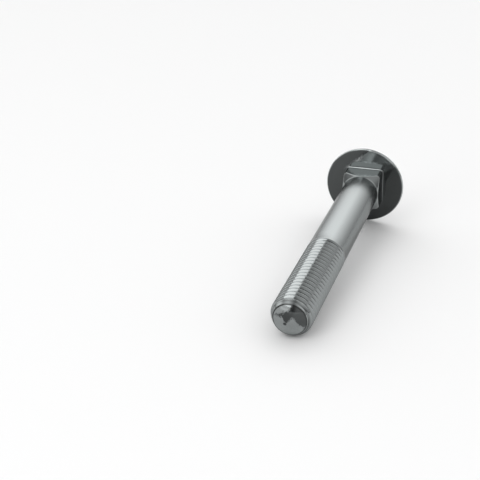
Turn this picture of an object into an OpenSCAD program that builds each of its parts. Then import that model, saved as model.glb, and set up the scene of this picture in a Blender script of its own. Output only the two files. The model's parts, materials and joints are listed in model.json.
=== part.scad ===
// Carriage bolt: a low domed head, a square neck, a plain shank and a rolled thread, in one piece.
// It lies as it comes to rest on a table, on the rim of its head and the end of its thread,
// with one flat of the neck facing up. The table is z = 0, and the thread's end points along +X.

/* [Thread] */
// Major diameter of the thread
thread_d = 10; // [8:0.1:14]
// Pitch of the thread
pitch = 1.5; // [1:0.05:2]
// Length of the threaded end
thread_length = 31; // [20:1:45]
// Length over which the grooves fade out beside the plain shank
runout = 0.5; // [0.3:0.1:3]
// Angle around the bolt by which the thread is turned
thread_turn = 165; // [0:5:355]

/* [Shank] */
// Diameter of the plain shank
shank_d = 9.9; // [8:0.05:13]
// Length from the seat of the head to the rim of the end face
bolt_length = 75; // [60:1:120]

/* [Head] */
// Diameter of the head
head_d = 21.9; // [19:0.1:30]
// Height of the head
head_h = 5.3; // [4:0.1:8]
// Radius of the rounded rim of the head
rim_r = 0.45; // [0.2:0.05:0.8]

/* [Square neck] */
// How far each flat of the neck stands out from the shank
neck_step = 0.1; // [0.05:0.05:0.5]
// Depth of the neck, from the seat of the head to the shank
neck_h = 5.5; // [4:0.1:8]
// How much the long edges of the neck are rounded off, measured across a corner
neck_edge = 0.4; // [0.1:0.1:1]
// Angle between the bolt's axis and the cone that cuts the corners of the neck
neck_cone_angle = 48; // [30:1:60]
// Radius of the fillets at both ends of the neck
neck_fillet = 0.4; // [0.2:0.05:0.8]

/* [Thread end] */
// Length of the chamfer on the end
chamfer_length = 1.6; // [0.8:0.1:3]
// How far the edge of the end face lies inside the root of the thread
end_inset = 0.18; // [0.1:0.02:0.5]
// Radius of the rounded rim of the end face
end_rim_r = 0.2; // [0.1:0.05:0.5]
// How far the low nose of the end face stands out past its rim
nose_h = 1.1; // [0.3:0.1:2]
// Radius of the small pit in the nose
pit_r = 0.35; // [0.2:0.05:0.6]
// Depth of the pit
pit_depth = 0.2; // [0.1:0.05:0.4]
// Distance of the pit from the axis
pit_offset = 1.1; // [0:0.1:2]
// Angle of the pit around the axis, from the underside
pit_turn = 310; // [0:5:355]

/* [Hidden] */
$fn = 96;

// Spacing of the points on a round stretch of an outline, in degrees
arc_step = 6;
// Sides of the thread's solid
thread_sides = 24;
// How far one form reaches into the next, and how far the thread stays inside the cone of the end
lap = 0.1;
seam = 0.03;

// The thread: flanks at 60 degrees, a crest an eighth of the pitch wide and a root a quarter wide
crest_w = pitch / 8;
root_w = pitch / 4;
flank_w = (pitch - crest_w - root_w) / 2;
thread_depth = flank_w / tan(30);
thread_r = thread_d / 2;
thread_start = bolt_length - thread_length;

// The end: its chamfer is a cone from the crests to the end face, which cuts the grooves away
// where the end piece starts
end_r = thread_r - thread_depth - end_inset;
chamfer_slope = (thread_r - end_r) / chamfer_length;
chamfer_angle = atan(chamfer_slope);
end_start = bolt_length - end_inset / chamfer_slope;

// The nose is a ball cap on the end face. The rounded rim lies against the ball and the chamfer,
// and its centre stands at nose_angle to the axis, seen from the centre of the ball.
nose_ball_r = (end_r ^ 2 + nose_h ^ 2) / (2 * nose_h);
nose_centre = bolt_length + nose_h - nose_ball_r;
nose_angle = asin((end_r * cos(chamfer_angle) + (bolt_length - nose_centre) * sin(chamfer_angle) - end_rim_r)
    / (nose_ball_r - end_rim_r)) - chamfer_angle;
pit_ball_r = (pit_r ^ 2 + pit_depth ^ 2) / (2 * pit_depth);
pit_sides = 24;

// The neck
shank_r = shank_d / 2;
flat_r = shank_r + neck_step;
corner_r = flat_r * sqrt(2) - neck_edge;

// The dome is a ball cap that runs into the rounded rim without an edge
rim_centre_r = head_d / 2 - rim_r;
rim_centre_h = head_h - rim_r;
dome_r = (rim_centre_r ^ 2 + rim_centre_h ^ 2 - rim_r ^ 2) / (2 * (rim_centre_h - rim_r));
dome_angle = acos(rim_centre_r / (dome_r - rim_r));

// The bolt lies on the rim of its head and on the last whole crest of its thread
rest_drop = rim_centre_r - thread_r;
rest_span = bolt_length - chamfer_length + rim_r;
lie_angle = atan2(rest_drop, rest_span) + asin(rim_r / norm([rest_drop, rest_span]));
seat_z = rim_centre_r * cos(lie_angle) - rim_r * sin(lie_angle) + rim_r;
// The middle of its length is over the origin
low_x = (dome_r - head_h) * cos(lie_angle) - dome_r;
high_x = nose_centre * cos(lie_angle) + nose_ball_r;
seat_x = -(low_x + high_x) / 2;

// Points of an arc of an outline
function arc(centre, r, from, to) =
    let (steps = max(1, ceil(abs(to - from) / arc_step)))
    [for (i = [0:steps])
        let (angle = from + (to - from) * i / steps)
        centre + r * [cos(angle), sin(angle)]];

// The head, with its seat at height 0
module head() {
    dome = arc([0, dome_r - head_h], dome_r, -dome_angle, -90 + arc_step / 2);
    rotate_extrude()
        polygon(concat([[0, 0]], arc([rim_centre_r, -rim_r], rim_r, 90, -dome_angle), dome, [[0, -head_h]]));
}

// Outline of one side of the foot and the wall of the neck, from inside the head upwards
function neck_wall(wall_r) =
    let (foot = arc([wall_r + neck_fillet, neck_fillet], neck_fillet, 270 - 2 * arc_step, 180))
    concat([[foot[0].x, -lap]], foot);

// The neck and the plain shank: one turned form, with the four flats cut on the neck
module neck_and_shank() {
    cone_h = (corner_r - shank_r) / tan(neck_cone_angle);
    fillet_h = neck_h + neck_fillet * tan(neck_cone_angle / 2);
    top = thread_start + lap;
    turned = concat(
        [[0, -lap]],
        neck_wall(corner_r),
        [[corner_r, neck_h - cone_h]],
        arc([shank_r + neck_fillet, fillet_h], neck_fillet, 180 + neck_cone_angle, 180),
        [[shank_r, top], [0, top]]);
    wall = neck_wall(flat_r);
    side = concat(wall, [[flat_r, fillet_h], [corner_r, fillet_h], [corner_r, top + lap]]);
    other_side = [for (i = [len(side) - 1:-1:0]) [-side[i].x, side[i].y]];
    intersection() {
        rotate_extrude()
            polygon(turned);
        for_both_ways()
            polygon(concat(side, other_side));
    }
}

// What an outline leaves when it is pushed through the bolt both ways across
module for_both_ways() {
    intersection_for (turn = [0, 90])
        rotate([90, 0, turn])
            linear_extrude(4 * corner_r, center = true)
                children();
}

// Share of the thread's depth that is cut at u pitches from the middle of a crest
function groove(u) = min(1, max(0, (abs(u - round(u)) * pitch - crest_w / 2) / flank_w));

// Radius of the thread's solid at height z, u pitches from the middle of a crest
function thread_radius(z, u) =
    let (depth = thread_depth * min(1, max(0, (z - thread_start - lap) / runout)))
    min(thread_r - depth * groove(u), end_r + (bolt_length - z) * chamfer_slope - seam);

// The thread: columns of points, one for each side, whose rows follow the crests and the roots
// and so climb one pitch a turn. Rows beyond either end fall together on its flat.
module thread() {
    marks = [-crest_w / 2, crest_w / 2, crest_w / 2 + flank_w, crest_w / 2 + flank_w + root_w] / pitch;
    per_turn = len(marks);
    bottom = thread_start + lap;
    top = end_start + lap;
    last = per_turn * (ceil((top - bottom) / pitch) + 2);
    function height(i, j) =
        j == 0 ? thread_start
        : min(top, max(bottom, bottom
            + pitch * (floor((j - 1) / per_turn) - 1 + marks[(j - 1) % per_turn] + i / thread_sides)));
    points = [
        for (i = [0:thread_sides - 1], j = [0:last])
            let (
                z = height(i, j),
                r = j == 0 ? thread_r : thread_radius(z, (z - bottom) / pitch - i / thread_sides),
                angle = (i + 0.5) * 360 / thread_sides)
            [r * cos(angle), r * sin(angle), z]];
    // A row past the last column is the row one turn higher on the first column
    function at(i, j) =
        i < thread_sides ? i * (last + 1) + min(last, j)
        : j == 0 ? 0
        : min(last, j + per_turn);
    sides = [
        for (i = [0:thread_sides - 1], j = [0:last - 1])
            each [[at(i, j), at(i, j + 1), at(i + 1, j)], [at(i + 1, j), at(i, j + 1), at(i + 1, j + 1)]]];
    ends = [[for (i = [0:thread_sides - 1]) at(i, 0)], [for (i = [thread_sides - 1:-1:0]) at(i, last)]];
    polyhedron(points, concat([for (f = sides) if (area(points, f) > 0.0001) f], ends));
}

// Twice the area of a triangle
function area(points, f) = norm(cross(points[f[1]] - points[f[0]], points[f[2]] - points[f[0]]));

// The end piece: the last of the chamfer, the rounded rim of the end face and the low nose
module end_piece() {
    rim_centre = [0, nose_centre] + (nose_ball_r - end_rim_r) * [sin(nose_angle), cos(nose_angle)];
    rim = arc(rim_centre, end_rim_r, chamfer_angle, 90 - nose_angle);
    nose = arc([0, nose_centre], nose_ball_r, 90 - nose_angle + arc_step / 2, 90);
    rotate_extrude()
        polygon(concat([[0, end_start], [end_r + end_inset, end_start]], rim, nose));
}

// The small pit that is left in the nose, beside its middle
module pit() {
    translate([0, 0, nose_centre])
        rotate([0, asin(pit_offset / nose_ball_r), pit_turn])
            translate([0, 0, nose_ball_r - pit_depth + pit_ball_r])
                sphere(pit_ball_r, $fn = pit_sides);
}

module bolt() {
    color("#8d9494")
        translate([seat_x, 0, seat_z])
            rotate([0, 90 + lie_angle, 0])
                difference() {
                    union() {
                        head();
                        neck_and_shank();
                        rotate(thread_turn)
                            thread();
                        end_piece();
                    }
                    pit();
                }
}

bolt();
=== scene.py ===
# Carriage bolt lying on a pale floor: its surface in full detail, its finish with painted light and shade,
# the studio and the camera
import json
import math

import bmesh
import bpy
import numpy as np
from mathutils import Matrix, Vector


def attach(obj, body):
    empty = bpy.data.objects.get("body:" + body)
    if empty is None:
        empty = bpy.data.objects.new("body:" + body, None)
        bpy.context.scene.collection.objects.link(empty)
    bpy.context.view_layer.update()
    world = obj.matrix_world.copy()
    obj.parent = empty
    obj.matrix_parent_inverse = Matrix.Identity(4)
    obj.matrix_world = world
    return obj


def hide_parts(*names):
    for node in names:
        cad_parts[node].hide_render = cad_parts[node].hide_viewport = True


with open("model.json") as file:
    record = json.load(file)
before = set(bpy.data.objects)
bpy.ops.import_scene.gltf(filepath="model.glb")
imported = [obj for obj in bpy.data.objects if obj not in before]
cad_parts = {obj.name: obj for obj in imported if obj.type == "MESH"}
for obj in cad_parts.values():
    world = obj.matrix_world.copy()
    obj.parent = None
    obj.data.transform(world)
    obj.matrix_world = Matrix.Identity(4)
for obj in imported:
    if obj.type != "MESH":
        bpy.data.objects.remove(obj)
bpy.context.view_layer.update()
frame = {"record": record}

MM = 0.001

# Where the bolt lies, from the record's mounts: its axis, and the middle of its seat on that axis
mounts = {mount["name"]: mount for mount in frame["record"]["mounts"]}
AXIS = Vector(mounts["thread"]["axis"]).normalized()
ACROSS = Vector((0, 1, 0))
DOWN = ACROSS.cross(AXIS)
on_axis = Vector(mounts["square_neck"]["pos_m"])
SEAT = on_axis + AXIS * (Vector(mounts["head_seat"]["pos_m"]) - on_axis).dot(AXIS)

# Head
HEAD_R = 10.95 * MM
HEAD_H = 5.3 * MM
RIM_R = 0.45 * MM

# Shank and square neck
BOLT_LENGTH = 75 * MM
SHANK_R = mounts["shank"]["dims"]["r_mm"] * MM
NECK_STEP = 0.1 * MM
NECK_EDGE = 0.4 * MM
FLAT_R = SHANK_R + NECK_STEP
CORNER_R = FLAT_R * math.sqrt(2) - NECK_EDGE
NECK_H = 5.5 * MM
CONE_ANGLE = math.radians(48)
NECK_FILLET = 0.4 * MM
# How softly the flats, the corners and the cone of the neck run into each other
NECK_SOFT = 0.08 * MM

# Thread
THREAD_R = 5 * MM
PITCH = 1.5 * MM
THREAD_LENGTH = 31 * MM
THREAD_START = BOLT_LENGTH - THREAD_LENGTH
RUNOUT = 0.5 * MM
THREAD_TURN = math.radians(165)
# Sides of the thread's solid, and how far its helix starts past the end of the plain shank
SOLID_SIDES = 24
LAP = 0.1 * MM
CREST_W = PITCH / 8
ROOT_W = PITCH / 4
FLANK_W = (PITCH - CREST_W - ROOT_W) / 2
FLANK_ANGLE = math.radians(30)
THREAD_DEPTH = FLANK_W / math.tan(FLANK_ANGLE)
# How softly the crests and the roots are rounded, as a share of the depth
CREST_SOFT = 0.08
ROOT_SOFT = 0.1

# Thread end
CHAMFER_LENGTH = 1.6 * MM
END_INSET = 0.18 * MM
END_RIM_R = 0.2 * MM
END_R = THREAD_R - THREAD_DEPTH - END_INSET
CHAMFER_SLOPE = (THREAD_R - END_R) / CHAMFER_LENGTH
CHAMFER_ANGLE = math.atan(CHAMFER_SLOPE)
# The low nose is a ball cap with a small pit beside its middle
NOSE_H = 1.1 * MM
NOSE_R = (END_R ** 2 + NOSE_H ** 2) / (2 * NOSE_H)
NOSE_CENTRE = BOLT_LENGTH + NOSE_H - NOSE_R
NOSE_ANGLE = math.asin(
    (END_R * math.cos(CHAMFER_ANGLE) + (BOLT_LENGTH - NOSE_CENTRE) * math.sin(CHAMFER_ANGLE) - END_RIM_R)
    / (NOSE_R - END_RIM_R)) - CHAMFER_ANGLE
RIM_CENTRE_R = (NOSE_R - END_RIM_R) * math.sin(NOSE_ANGLE)
RIM_CENTRE_Z = NOSE_CENTRE + (NOSE_R - END_RIM_R) * math.cos(NOSE_ANGLE)
PIT_R = 0.35 * MM
PIT_DEPTH = 0.2 * MM
PIT_OFFSET = 1.1 * MM
PIT_TURN = math.radians(310)

# The mesh: columns of points around the bolt, closer together at the corners of the neck
COLUMNS = 160
CORNER_PULL = 0.55
# Where the rows of the dome start and those of the nose end, in degrees, just short of the axis
DOME_START = -88.5
NOSE_END = 89.7
# How far from the thread the last row of the plain shank stands
SHANK_GAP = 0.3 * MM
# Rows in each stretch of the surface
DOME_ROWS = 34
RIM_ROWS = 14
SEAT_ROWS = 11
FOOT_ROWS = 6
WALL_ROWS = 5
CONE_ROWS = 33
SHANK_ROWS = 13
ROWS_A_PITCH = 16
END_RIM_ROWS = 8
NOSE_ROWS = 70
# Points nearer than this are one point, and edges shorter than this go
SAME_POINT = 0.001 * MM
SHORT_EDGE = 0.0005 * MM


def column_angles():
    """Angle of each column, from the bolt's underside towards its +Y side."""
    even = np.arange(COLUMNS) * 2 * math.pi / COLUMNS
    return even + CORNER_PULL / 4 * np.sin(4 * even)


def soft_min(a, b, width):
    """The smaller of two values, with a round change from one to the other."""
    mix = np.clip(0.5 + (b - a) / (2 * width), 0, 1)
    return b + (a - b) * mix - width * mix * (1 - mix)


def arc(centre_r, centre_z, radius, start, end, steps):
    """Points of an arc of a turned outline, as (distance from the axis, height)."""
    angles = np.radians(np.linspace(start, end, steps + 1))
    return [(centre_r + radius * math.cos(a), centre_z + radius * math.sin(a)) for a in angles]


def ring(outline, angles):
    """Rows of a turned outline: the same radius and height at every column."""
    return [(np.full_like(angles, r), np.full_like(angles, z)) for r, z in outline]


def head_rows(angles):
    """Dome, rim and the outer edge of the seat, from the pole to the rim's inner edge."""
    centre_r = HEAD_R - RIM_R
    centre_h = HEAD_H - RIM_R
    dome_r = (centre_r ** 2 + centre_h ** 2 - RIM_R ** 2) / (2 * (centre_h - RIM_R))
    rim_end = math.degrees(math.acos(centre_r / (dome_r - RIM_R)))
    dome = arc(0, dome_r - HEAD_H, dome_r, DOME_START, -rim_end, DOME_ROWS)
    rim = arc(centre_r, -RIM_R, RIM_R, -rim_end, 90, RIM_ROWS)
    return ring(dome + rim[1:], angles)


def neck_radius(angles, z):
    """Radius of the neck at height z: flats, rounded corners, the cone that cuts them, and the shank."""
    flat = FLAT_R / np.maximum(np.abs(np.cos(angles)), np.abs(np.sin(angles)))
    cone = np.full_like(angles, SHANK_R + (NECK_H - z) * math.tan(CONE_ANGLE))
    turned = np.full_like(angles, CORNER_R)
    radius = soft_min(soft_min(flat, turned, NECK_SOFT), cone, NECK_SOFT)
    return -soft_min(-radius, np.full_like(angles, -SHANK_R), NECK_FILLET / 2)


def stretch(angles, start, end, count, radius_at):
    """Level rows from just above one height up to another."""
    return [(radius_at(z), np.full_like(angles, z)) for z in np.linspace(start, end, count + 1)[1:]]


def neck_rows(angles):
    """Seat from the rim inwards, the neck's foot, its walls and the plain shank."""
    foot = neck_radius(angles, 2 * NECK_FILLET) + NECK_FILLET
    outer = HEAD_R - RIM_R
    rows = [(outer + (foot - outer) * share, np.zeros_like(angles))
            for share in np.linspace(0, 1, SEAT_ROWS + 1)[1:]]
    for a in np.radians(np.linspace(0, 90, FOOT_ROWS + 1))[1:]:
        rows.append((foot - NECK_FILLET * math.sin(a), np.full_like(angles, NECK_FILLET * (1 - math.cos(a)))))
    cone_start = NECK_H - (CORNER_R - SHANK_R) / math.tan(CONE_ANGLE) - 2 * NECK_SOFT
    cone_end = NECK_H + 2 * NECK_FILLET
    shank_end = THREAD_START - SHANK_GAP
    rows += stretch(angles, NECK_FILLET, cone_start, WALL_ROWS, lambda z: neck_radius(angles, z))
    rows += stretch(angles, cone_start, cone_end, CONE_ROWS, lambda z: neck_radius(angles, z))
    rows += stretch(angles, cone_end, shank_end, SHANK_ROWS, lambda z: np.full_like(angles, SHANK_R))
    return rows


def groove(u):
    """Share of the thread's depth that is cut at u pitches from the middle of a crest."""
    cut = (np.abs(u - np.round(u)) * PITCH - CREST_W / 2) / FLANK_W
    rounded_crest = -soft_min(-cut, np.zeros_like(cut), CREST_SOFT)
    return soft_min(rounded_crest, np.ones_like(cut), ROOT_SOFT)


def thread_rows(angles):
    """Rows that climb with the helix, from the end of the shank to the rim of the end face."""
    top = RIM_CENTRE_Z + END_RIM_R * math.sin(CHAMFER_ANGLE)
    start = THREAD_START + LAP
    turns = math.ceil((top - THREAD_START) / PITCH) + 2
    # The solid's first column stands half a side past the turn
    lean = (angles - THREAD_TURN) / (2 * math.pi) - 0.5 / SOLID_SIDES
    rows = []
    for step in range(turns * ROWS_A_PITCH + 1):
        z = start + PITCH * (step / ROWS_A_PITCH - 1 + angles / (2 * math.pi))
        z = np.clip(z, THREAD_START, top)
        u = (z - start) / PITCH - lean
        depth = THREAD_DEPTH * np.clip((z - start) / RUNOUT, 0, 1)
        cone = END_R + (BOLT_LENGTH - z) * CHAMFER_SLOPE
        rows.append((np.minimum(THREAD_R - depth * groove(u), cone), z))
    return rows


def end_rows(angles):
    """Rounded rim of the end face and its low nose with the pit, to just short of the middle."""
    edge = 90 - math.degrees(NOSE_ANGLE)
    rim = arc(RIM_CENTRE_R, RIM_CENTRE_Z, END_RIM_R, math.degrees(CHAMFER_ANGLE), edge, END_RIM_ROWS)
    nose = arc(0, NOSE_CENTRE, NOSE_R, edge, NOSE_END, NOSE_ROWS)
    rows = []
    for r, z in ring(rim[1:] + nose[1:], angles):
        away = np.hypot(r * np.cos(angles) - PIT_OFFSET * math.cos(PIT_TURN),
                        r * np.sin(angles) - PIT_OFFSET * math.sin(PIT_TURN))
        rows.append((r, z - PIT_DEPTH * np.maximum(0, 1 - (away / PIT_R) ** 2)))
    return rows


def to_world(radius, height, angles):
    """Points of one row in the frame."""
    local = np.stack([radius * np.cos(angles), radius * np.sin(angles), height], axis=1)
    basis = np.array([DOWN, ACROSS, AXIS])
    return local @ basis + np.array(SEAT)


def build_bolt():
    """The whole surface of the bolt as one closed mesh."""
    angles = column_angles()
    plain = head_rows(angles) + neck_rows(angles)
    helix = thread_rows(angles)
    rows = plain + helix + end_rows(angles)
    ends = [np.array([SEAT - AXIS * HEAD_H, SEAT + AXIS * (BOLT_LENGTH + NOSE_H)])]
    points = np.concatenate([to_world(r, z, angles) for r, z in rows] + ends)
    first, last = len(plain), len(plain) + len(helix) - 1
    faces = []
    for row in range(len(rows) - 1):
        for column in range(COLUMNS):
            beside = (column + 1) % COLUMNS
            low, high = row, row + 1
            # Past the last column the helix is one turn higher
            if beside == 0 and first <= row and high <= last:
                low, high = min(last, row + ROWS_A_PITCH), min(last, high + ROWS_A_PITCH)
            faces.append([
                row * COLUMNS + column, low * COLUMNS + beside,
                high * COLUMNS + beside, (row + 1) * COLUMNS + column])
    final = (len(rows) - 1) * COLUMNS
    dome_pole, nose_pole = len(points) - 2, len(points) - 1
    for column in range(COLUMNS):
        beside = (column + 1) % COLUMNS
        faces.append([beside, column, dome_pole])
        faces.append([final + column, final + beside, nose_pole])
    mesh = bpy.data.meshes.new("bolt_surface")
    mesh.from_pydata(points.tolist(), [], faces)
    return close_up(mesh)


def close_up(mesh):
    """Joins the points that fall together at the ends of the helix and smooths the shading."""
    work = bmesh.new()
    work.from_mesh(mesh)
    bmesh.ops.remove_doubles(work, verts=work.verts, dist=SAME_POINT)
    bmesh.ops.dissolve_degenerate(work, edges=work.edges, dist=SHORT_EDGE)
    bmesh.ops.recalc_face_normals(work, faces=work.faces)
    work.to_mesh(mesh)
    work.free()
    mesh.polygons.foreach_set("use_smooth", [True] * len(mesh.polygons))
    return mesh


class Field:
    """A number that varies over a surface or a room. Each sum on it makes one of the shader's nodes."""

    def __init__(self, tree, socket):
        self.tree = tree
        self.socket = socket

    def to(self, target):
        """Feeds another node's input."""
        self.tree.links.new(self.socket, target)

    def result(self, operation, *values):
        """Result of a Math node on fields or plain numbers."""
        node = self.tree.nodes.new("ShaderNodeMath")
        node.operation = operation
        for value, target in zip(values, node.inputs):
            if isinstance(value, Field):
                value.to(target)
            else:
                target.default_value = value
        return Field(self.tree, node.outputs[0])

    def __add__(self, other):
        return self.result("ADD", self, other)

    def __radd__(self, other):
        return self.result("ADD", other, self)

    def __sub__(self, other):
        return self.result("SUBTRACT", self, other)

    def __rsub__(self, other):
        return self.result("SUBTRACT", other, self)

    def __mul__(self, other):
        return self.result("MULTIPLY", self, other)

    def __rmul__(self, other):
        return self.result("MULTIPLY", other, self)

    def __abs__(self):
        return self.result("ABSOLUTE", self)

    def root(self):
        """Square root."""
        return self.result("SQRT", self)

    def over(self, limit):
        """1 above the limit and 0 elsewhere."""
        return self.result("GREATER_THAN", self, limit)

    def at_least(self, other):
        """The larger of two values."""
        return self.result("MAXIMUM", self, other)

    def at_most(self, other):
        """The smaller of two values."""
        return self.result("MINIMUM", self, other)

    def ramp(self, low, high, kind="LINEAR"):
        """From 0 at the low value to 1 at the high one."""
        node = self.tree.nodes.new("ShaderNodeMapRange")
        node.interpolation_type = kind
        self.to(node.inputs["Value"])
        node.inputs["From Min"].default_value = low
        node.inputs["From Max"].default_value = high
        return Field(self.tree, node.outputs["Result"])

    def rising(self, low, high):
        """From 0 at the low value to 1 at the high one, with soft ends."""
        return self.ramp(low, high, "SMOOTHSTEP")

    def within(self, rise, fall):
        """1 between a soft rise and a soft fall."""
        return self.rising(*rise) * self.rising(*fall)


def vector_field(tree, operation, vector, other):
    """The number that comes out of a Vector Math node."""
    node = tree.nodes.new("ShaderNodeVectorMath")
    node.operation = operation
    tree.links.new(vector, node.inputs[0])
    node.inputs[1].default_value = other
    return Field(tree, node.outputs["Value"])


class Place:
    """Where a point of the bolt lies: to the right of its axis, above it, out from it and along it."""

    def __init__(self, tree):
        self.tree = tree
        self.point = tree.nodes.new("ShaderNodeTexCoord").outputs["Object"]
        self.right = self.along(ACROSS)
        self.above = self.along(-DOWN)
        self.height = self.along(AXIS)
        self.out = (self.right * self.right + self.above * self.above).root()
        # The height above the axis with an uneven error, for painted patches of light and shade with a ragged
        # border
        self.ragged_above = self.above + (self.noise(*RAGGED_GRAIN) - 0.5) * RAGGED_SIZE

    def along(self, way):
        """Distance from the middle of the seat, in one direction."""
        return vector_field(self.tree, "DOT_PRODUCT", self.point, way) - SEAT.dot(way)

    def away(self, spot):
        """Distance from a spot."""
        return vector_field(self.tree, "DISTANCE", self.point, spot)

    def noise(self, scale, detail):
        """Noise with the given number of grains a metre, and its detail."""
        node = self.tree.nodes.new("ShaderNodeTexNoise")
        self.tree.links.new(self.point, node.inputs["Vector"])
        node.inputs["Scale"].default_value = scale
        node.inputs["Detail"].default_value = detail
        return Field(self.tree, node.outputs["Fac"])


# Finish of the steel: its cool tint, its tint at a grazing angle, its roughness and how much rougher
# the shank is
TINT = (0.945, 1, 1)
GRAZING = (0.55, 0.55, 0.55, 1)
ROUGHNESS = 0.11
SHANK_ROUGHER = 0.1
# Scale and detail of its grain and of the thread's larger dents, the height of the dents beside that of
# the grain, and how deep the grain is
GRAIN = (1500, 3)
DENTS = (800, 1)
DENTS_HEIGHT = 4
BUMP_HEIGHT = 0.004 * MM
# Scale and detail of the noise that makes the border of a painted patch ragged, and how far it moves it
RAGGED_GRAIN = (1800, 6)
RAGGED_SIZE = 1.9 * MM

# How much the steel reflects along the bolt: the dome's tone, then the two heights between which each next
# tone comes in, and that tone. The brighter rim and foot of the neck are painted highlights, and the dark
# seat is a painted dark reflection.
DOME_TONE = 0.27
TONES = [
    # Rim: painted highlight
    (-0.5 * MM, -0.3 * MM, 0.42),
    # Seat: painted dark reflection
    (-0.09 * MM, -0.03 * MM, 0.085),
    # Foot of the neck: painted highlight
    (0.02 * MM, 0.08 * MM, 0.4),
    (0.35 * MM, 0.5 * MM, 0.305),
    (BOLT_LENGTH - 0.3 * MM, BOLT_LENGTH, 0.28),
]

# Each patch of painted light or shade changes those tones by a share. A line is its slope to the right and
# its height at the axis.
# A soft step is the two values between which it comes in.
# The flats of the neck, brightened as a painted reflection, and its foot but for the top, darkened as painted
# shade around a painted highlight on top
FLAT_SHARE = 0.5
FLAT_STEP = (FLAT_R - 0.08 * MM, FLAT_R - 0.03 * MM)
FLAT_HEIGHTS = ((0.3 * MM, 0.5 * MM), (NECK_H, NECK_H - 0.3 * MM))
FOOT_SHARE = 0.6
FOOT_STEP = (FLAT_R, FLAT_R - 0.4 * MM)
FOOT_HEIGHTS = ((0.01 * MM, 0.05 * MM), (0.5 * MM, 0.35 * MM))

# The painted reflection on the seat: a bright wedge
WEDGE_SHARE = 1.25
WEDGE_FAR_SHARE = 2.3
WEDGE_LEFT = (0.84, 9.7 * MM)
WEDGE_RIGHT = (0.9, -0.9 * MM)
WEDGE_SIDES = (-0.4 * MM, 0.6 * MM)
WEDGE_START = (4.4 * MM, 5 * MM)
WEDGE_FAR = (6.9 * MM, 7.6 * MM)
SEAT_HEIGHTS = ((-0.09 * MM, -0.03 * MM), (0.08 * MM, 0.02 * MM))

# Painted light on the thread: a painted highlight on the crests and painted shade towards the roots
ROOT_SHARE = 0.5
ROOT_STEP = (THREAD_R - 0.4 * THREAD_DEPTH, THREAD_R - 0.9 * THREAD_DEPTH)
CREST_SHARE = 0.06
CREST_STEP = (THREAD_R - 0.1 * THREAD_DEPTH, THREAD_R - 0.03 * THREAD_DEPTH)
GROOVE_HEIGHTS = (
    (THREAD_START + 0.7 * MM, THREAD_START + 1.3 * MM),
    (BOLT_LENGTH - 0.4 * MM, BOLT_LENGTH - 0.8 * MM))

# Painted light on the end face: a patch of painted dark reflection between a notch around the pit, a line
# that falls to the right and a roof that turns up on the right, a painted dark rim, painted shade in the pit,
# and a lower half lightened by painted light
DARK_SHARE = 0.78
BRIGHT_SHARE = 0.45
NOTCH_RIGHT = -0.54 * MM
NOTCH_ABOVE = -0.6 * MM
NOTCH_SLOPE = 1.25
NOTCH_REACH = 1.12 * MM
FALLING = (-1.08, 2.08 * MM)
ROOF = (0.45, 2.65 * MM)
ROOF_TURN = 0.3 * MM
ROOF_TURN_SLOPE = 8
PATCH_BOTTOM = (-0.3 * MM, 0.45 * MM)
PATCH_TOP = (-0.3 * MM, 0.4 * MM)
PATCH_FADE = 0.12
PATCH_FADE_RIGHT = (0, 1.8 * MM)
PATCH_FADE_ABOVE = (1.6 * MM, 2.8 * MM)
DARK_RIM = ((3.7 * MM, 3.8 * MM), (4.1 * MM, 4 * MM))
BRIGHT_BELOW = (0, -3.4 * MM)
FACE_STEP = (BOLT_LENGTH - 0.12 * MM, BOLT_LENGTH - 0.05 * MM)
PIT_MIDDLE = SEAT + AXIS * (BOLT_LENGTH + NOSE_H) + PIT_OFFSET * (
    DOWN * math.cos(PIT_TURN) + ACROSS * math.sin(PIT_TURN))
PIT_STEP = (1.3 * PIT_R, PIT_R)

# Where the shank's rougher finish and the thread's dents come in
SHANK_HEIGHTS = ((NECK_H, NECK_H + 1 * MM), (THREAD_START, THREAD_START - 0.5 * MM))
DENTS_STEP = (THREAD_START - 1 * MM, THREAD_START + 1 * MM)


def line(right, slope, at_axis):
    """Height of a sloping line above the axis."""
    return right * slope + at_axis


def neck_painted_light(place):
    """Painted light on the neck: its flats are brightened as a painted reflection, and its foot is darkened
    everywhere but on top, leaving a painted highlight there.
    """
    reach = abs(place.right).at_least(abs(place.above))
    flat = reach.rising(*FLAT_STEP) * place.height.within(*FLAT_HEIGHTS)
    foot = place.above.rising(*FOOT_STEP) * place.height.within(*FOOT_HEIGHTS)
    return 1 + flat * FLAT_SHARE - foot * FOOT_SHARE


def seat_painted_reflection(place):
    """Painted reflection on the seat: brighter in a wedge from the neck's top to the rim, and more so in its
    far part.
    """
    above = place.ragged_above
    wedge = above.rising(*WEDGE_START) * place.height.within(*SEAT_HEIGHTS)
    for inside in (line(place.right, *WEDGE_LEFT) - above, above - line(place.right, *WEDGE_RIGHT)):
        wedge = wedge * inside.rising(*WEDGE_SIDES)
    return 1 + wedge * (above.rising(*WEDGE_FAR) * WEDGE_FAR_SHARE + WEDGE_SHARE)


def thread_painted_light(place):
    """Painted highlight on the thread's crests, and painted shade in its grooves towards their roots."""
    change = place.out.rising(*CREST_STEP) * CREST_SHARE - place.out.rising(*ROOT_STEP) * ROOT_SHARE
    return 1 + change * place.height.within(*GROOVE_HEIGHTS)


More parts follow.
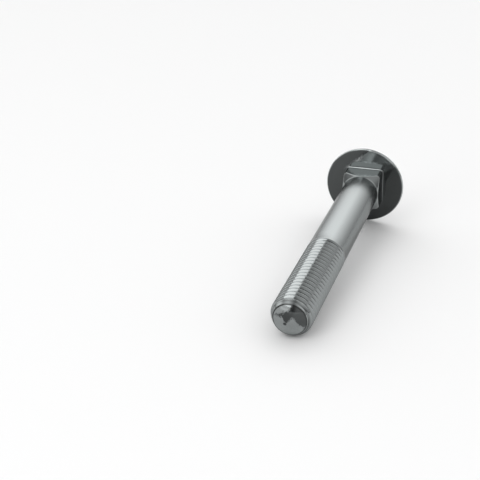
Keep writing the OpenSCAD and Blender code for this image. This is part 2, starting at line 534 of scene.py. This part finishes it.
def end_painted_light(place):
    """Painted light on the end face: a patch of painted dark reflection, a painted dark rim, painted shade in
    the pit and a lower half lightened by painted light.
    """
    right = place.right
    above = place.ragged_above
    notch = abs(right - NOTCH_RIGHT).at_most(NOTCH_REACH) * NOTCH_SLOPE + NOTCH_ABOVE
    roof = line(right, *ROOF) + (right - ROOF_TURN).at_least(0) * ROOF_TURN_SLOPE
    patch = (above - notch.at_most(line(right, *FALLING))).rising(*PATCH_BOTTOM)
    patch = patch * (roof - above).rising(*PATCH_TOP)
    patch = patch * (1 - right.rising(*PATCH_FADE_RIGHT) * PATCH_FADE)
    patch = patch * (1 - above.rising(*PATCH_FADE_ABOVE) * PATCH_FADE)
    dark = patch.at_least(place.out.within(*DARK_RIM)).at_least(place.away(PIT_MIDDLE).rising(*PIT_STEP))
    face = place.height.rising(*FACE_STEP)
    return 1 + above.rising(*BRIGHT_BELOW) * face * BRIGHT_SHARE - dark * face * DARK_SHARE


def steel():
    """Bright rolled steel with its painted highlights, shade and reflections."""
    material = bpy.data.materials.new("steel")
    material.use_nodes = True
    tree = material.node_tree
    shader = tree.nodes["Principled BSDF"]
    place = Place(tree)
    level = DOME_TONE
    before = DOME_TONE
    for low, high, tone in TONES:
        level = place.height.rising(low, high) * (tone - before) + level
        before = tone
    # Painted highlights, shade and reflections scale the tone
    for marks in (end_painted_light, thread_painted_light, neck_painted_light, seat_painted_reflection):
        level = level * marks(place)
    tinted = tree.nodes.new("ShaderNodeVectorMath")
    tinted.operation = "SCALE"
    tinted.inputs[0].default_value = TINT
    level.to(tinted.inputs["Scale"])
    tree.links.new(tinted.outputs["Vector"], shader.inputs["Base Color"])
    shader.inputs["Metallic"].default_value = 1
    shader.inputs["Specular Tint"].default_value = GRAZING
    roughness = place.height.within(*SHANK_HEIGHTS) * SHANK_ROUGHER + ROUGHNESS
    roughness.to(shader.inputs["Roughness"])
    bump = tree.nodes.new("ShaderNodeBump")
    bump.inputs["Distance"].default_value = BUMP_HEIGHT
    bump.inputs["Strength"].default_value = 1
    dents = place.noise(*DENTS) * DENTS_HEIGHT * place.height.rising(*DENTS_STEP)
    (place.noise(*GRAIN) + dents).to(bump.inputs["Height"])
    tree.links.new(bump.outputs["Normal"], shader.inputs["Normal"])
    return material


# Half the side of the floor, in metres, its colour, its roughness and how much it shines
FLOOR_HALF = 3
FLOOR_COLOUR = (0.88, 0.88, 0.88, 1)
FLOOR_ROUGHNESS = 0.9
FLOOR_SHINE = 0.1


def floor():
    """A pale floor."""
    corners = [(x * FLOOR_HALF, y * FLOOR_HALF, 0) for x, y in ((-1, -1), (1, -1), (1, 1), (-1, 1))]
    mesh = bpy.data.meshes.new("floor")
    mesh.from_pydata(corners, [], [(0, 1, 2, 3)])
    plane = bpy.data.objects.new("floor", mesh)
    bpy.context.scene.collection.objects.link(plane)
    material = bpy.data.materials.new("floor")
    material.use_nodes = True
    shader = material.node_tree.nodes["Principled BSDF"]
    shader.inputs["Base Color"].default_value = FLOOR_COLOUR
    shader.inputs["Roughness"].default_value = FLOOR_ROUGHNESS
    shader.inputs["Specular IOR Level"].default_value = FLOOR_SHINE
    mesh.materials.append(material)


# Directions are given as the photograph's view has them: azimuth 0 looks away from the camera
CAMERA_PLACE = Vector((230.39, 54.9, 107.5)) * MM
CAMERA_HEADING = math.radians(199.17)
CAMERA_PITCH = math.radians(22.82)
CAMERA_ROLL = math.radians(-0.44)
# Lens and sensor width in millimetres, and where the view starts
FOCAL = 75.5
SENSOR = 36
CLIP_START = 10 * MM


def direction(azimuth, elevation):
    """Unit vector towards an azimuth and an elevation in degrees."""
    heading = CAMERA_HEADING - math.radians(azimuth)
    rise = math.radians(elevation)
    return Vector((math.cos(rise) * math.cos(heading), math.cos(rise) * math.sin(heading), math.sin(rise)))


def camera():
    """The photograph's camera."""
    data = bpy.data.cameras.new("camera")
    data.lens = FOCAL
    data.sensor_width = SENSOR
    data.clip_start = CLIP_START
    item = bpy.data.objects.new("camera", data)
    bpy.context.scene.collection.objects.link(item)
    look = direction(0, -math.degrees(CAMERA_PITCH))
    turn = look.to_track_quat("-Z", "Y").to_matrix().to_4x4()
    item.matrix_world = Matrix.Translation(CAMERA_PLACE) @ turn @ Matrix.Rotation(CAMERA_ROLL, 4, "Z")
    bpy.context.scene.camera = item


# The room's light where nothing else shines, its darkest light, and its soft panels: place, half size
# and edge in degrees, and strength. A panel below zero is a dark gap.
ROOM = 0.265
DARKEST = 0.18
PANELS = [
    ((0, 34), (48, 24), (28, 20), 2.2),
    ((-124, 8), (26, 14), (8, 8), 0.61),
    ((-132, 4), (16, 6), (5, 4), 0.54),
    ((178, 12), (26, 24), (14, 10), 0.45),
    ((180, 55), (50, 18), (12, 10), 0.35),
    ((-161, 8), (9, 18), (7, 8), -0.35),
    ((-108, 60), (18, 18), (8, 8), 1.0),
    ((-64, 24), (12, 14), (6, 6), 0.85),
    ((90, 18), (22, 16), (8, 8), 0.58),
    ((85, 50), (25, 20), (12, 12), 0.66),
]
# The soft box: its direction in degrees, its distance and size in metres, and its power in watts
KEY_PLACE = (-141, 32)
KEY_DISTANCE = 0.9
KEY_SIZE = (0.46, 0.58)
KEY_POWER = 1.42


def key_light():
    """A soft box that faces the bolt."""
    data = bpy.data.lights.new("key_box", "AREA")
    data.shape = "RECTANGLE"
    data.size, data.size_y = KEY_SIZE
    data.energy = KEY_POWER
    item = bpy.data.objects.new("key_box", data)
    bpy.context.scene.collection.objects.link(item)
    towards = direction(*KEY_PLACE)
    item.location = towards * KEY_DISTANCE
    item.rotation_mode = "QUATERNION"
    item.rotation_quaternion = towards.to_track_quat("Z", "Y")
    item.visible_camera = False


def glow(tree, ray, place, half_size, edge, strength):
    """Light of one soft panel of the room: even inside, and falling to nothing over its edges."""
    middle = direction(*place)
    across = Vector((0, 0, 1)).cross(middle).normalized()
    share = vector_field(tree, "DOT_PRODUCT", ray, middle).over(0)
    for way, half, soft in zip((across, middle.cross(across)), half_size, edge):
        limits = [math.sin(math.radians(half + step)) for step in (soft, -soft)]
        share = share * abs(vector_field(tree, "DOT_PRODUCT", ray, way)).ramp(*limits)
    return share * strength


def studio():
    """A grey room with soft panels, and a soft box."""
    world = bpy.data.worlds.new("room")
    world.use_nodes = True
    tree = world.node_tree
    ray = tree.nodes.new("ShaderNodeTexCoord").outputs["Generated"]
    total = ROOM
    for panel in PANELS:
        total = total + glow(tree, ray, *panel)
    total.at_least(DARKEST).to(tree.nodes["Background"].inputs["Color"])
    bpy.context.scene.world = world
    key_light()


bolt = bpy.data.objects.new("carriage_bolt", build_bolt())
bpy.context.scene.collection.objects.link(bolt)
bolt.data.materials.append(steel())
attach(bolt, "root")
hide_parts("bolt")
floor()
camera()
studio()
bpy.context.scene.view_settings.view_transform = "Standard"
